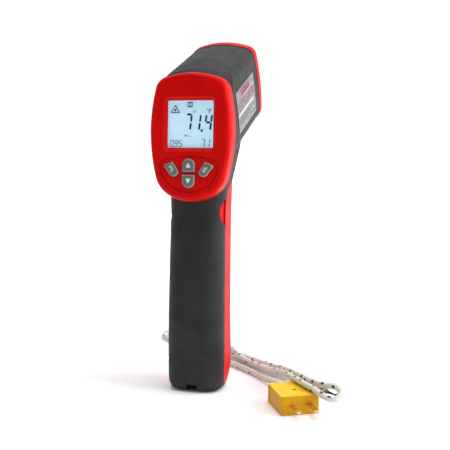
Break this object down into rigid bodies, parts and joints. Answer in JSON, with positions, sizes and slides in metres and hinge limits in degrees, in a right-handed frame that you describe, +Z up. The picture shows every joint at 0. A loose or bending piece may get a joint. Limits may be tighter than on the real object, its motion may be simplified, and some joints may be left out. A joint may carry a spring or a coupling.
{
  "type": "infrared thermometer",
  "caption": "Pistol-shaped infrared thermometer with display, keypad, trigger and hinged battery door, and a plug-in wire temperature probe.",
  "frame": {"origin": "on the floor under the middle of the grip", "axes": "+Z up along the grip, +Y towards what the barrel points at, +X to the right seen from the display"},
  "size_m": [0.1856, 0.1899, 0.2395],
  "materials": {
    "red_moulding": "satin red",
    "grey_moulding": "fine texture",
    "light_grey_key": "satin",
    "black_moulding": "satin",
    "label_foil": "printed foil",
    "clear_window": "clear",
    "display_glass": "clear over a light ground",
    "white_plastic": "plain",
    "silicone": "plain",
    "circuit_board": "solder mask",
    "steel": "plated",
    "brass": "turned",
    "lens_material": "coated",
    "battery_case": "printed jacket",
    "yellow_plastic": "satin yellow",
    "braid": "glass fibre braid",
    "wire_red": "insulated wire",
    "wire_black": "insulated wire",
    "foam": "foam"
  },
  "bodies": {
    "housing": {"shell_right": "grey_moulding", "shell_left": "grey_moulding", "rear_bezel": "red_moulding", "front_bezel": "red_moulding", "front_plate": "black_moulding", "label_right": "label_foil", "label_left": "label_foil", "display_window": "clear_window", "lcd_glass": "display_glass", "lcd_frame": "black_moulding", "backlight": "white_plastic", "zebra_strips": "silicone", "main_board": "circuit_board", "keypad_membrane": "silicone", "key_switches": "steel", "buzzer": "black_moulding", "board_chips": "black_moulding", "board_screws": "steel", "lens_retainer": "black_moulding", "ir_lens": "lens_material", "sensor_tube": "brass", "thermopile_sensor": "steel", "sensor_board": "circuit_board", "laser_nozzle": "black_moulding", "laser_window": "clear_window", "laser_module": "brass", "thermocouple_socket": "yellow_plastic", "socket_contacts": "brass", "trigger_pin": "steel", "trigger_spring": "steel", "trigger_switch": "black_moulding", "switch_board": "circuit_board", "battery_9v": "battery_case", "battery_studs": "steel", "battery_snap": "black_moulding", "door_hinge_pin": "steel", "housing_screws": "steel", "battery_wire_red": "wire_red", "battery_wire_black": "wire_black", "sensor_cable": "wire_black"},
    "battery_door": {"battery_door": "red_moulding", "battery_pad": "foam"},
    "trigger": {"trigger": "red_moulding"},
    "button_up": {"button_up": "light_grey_key"},
    "button_down": {"button_down": "light_grey_key"},
    "button_left": {"button_left": "light_grey_key"},
    "button_right": {"button_right": "light_grey_key"},
    "probe": {"plug_lower": "yellow_plastic", "plug_upper": "yellow_plastic", "plug_blade_positive": "brass", "plug_blade_negative": "brass", "plug_screw": "steel", "lead_gland": "yellow_plastic", "lead_tail": "braid", "lead_hank": "braid", "probe_bead": "steel"}
  },
  "joints": [
    {"name": "battery_door_hinge", "type": "hinge", "parent": "housing", "child": "battery_door", "pos_m": [0, 0.008, 0.0105], "axis": [-1, 0, 0], "range_deg": [0, 60]},
    {"name": "trigger_pivot", "type": "hinge", "parent": "housing", "child": "trigger", "pos_m": [0, 0.024, 0.173], "axis": [-1, 0, 0], "range_deg": [0, 9], "stiffness_Nm_per_rad": 0.1, "springref_deg": -20.05},
    {"name": "button_up_press", "type": "slide", "parent": "housing", "child": "button_up", "axis": [0, 0.998, -0.0628], "range_m": [0, 0.0007], "stiffness_N_per_m": 700, "springref_m": -0.0007},
    {"name": "button_down_press", "type": "slide", "parent": "housing", "child": "button_down", "axis": [0, 0.998, -0.0628], "range_m": [0, 0.0007], "stiffness_N_per_m": 700, "springref_m": -0.0007},
    {"name": "button_left_press", "type": "slide", "parent": "housing", "child": "button_left", "axis": [0, 0.998, -0.0628], "range_m": [0, 0.0007], "stiffness_N_per_m": 700, "springref_m": -0.0007},
    {"name": "button_right_press", "type": "slide", "parent": "housing", "child": "button_right", "axis": [0, 0.998, -0.0628], "range_m": [0, 0.0007], "stiffness_N_per_m": 700, "springref_m": -0.0007},
    {"name": "probe_reach", "type": "slide", "parent": "housing", "child": "probe", "axis": [1, 0, 0], "range_m": [0, 0.25]}
  ]
}
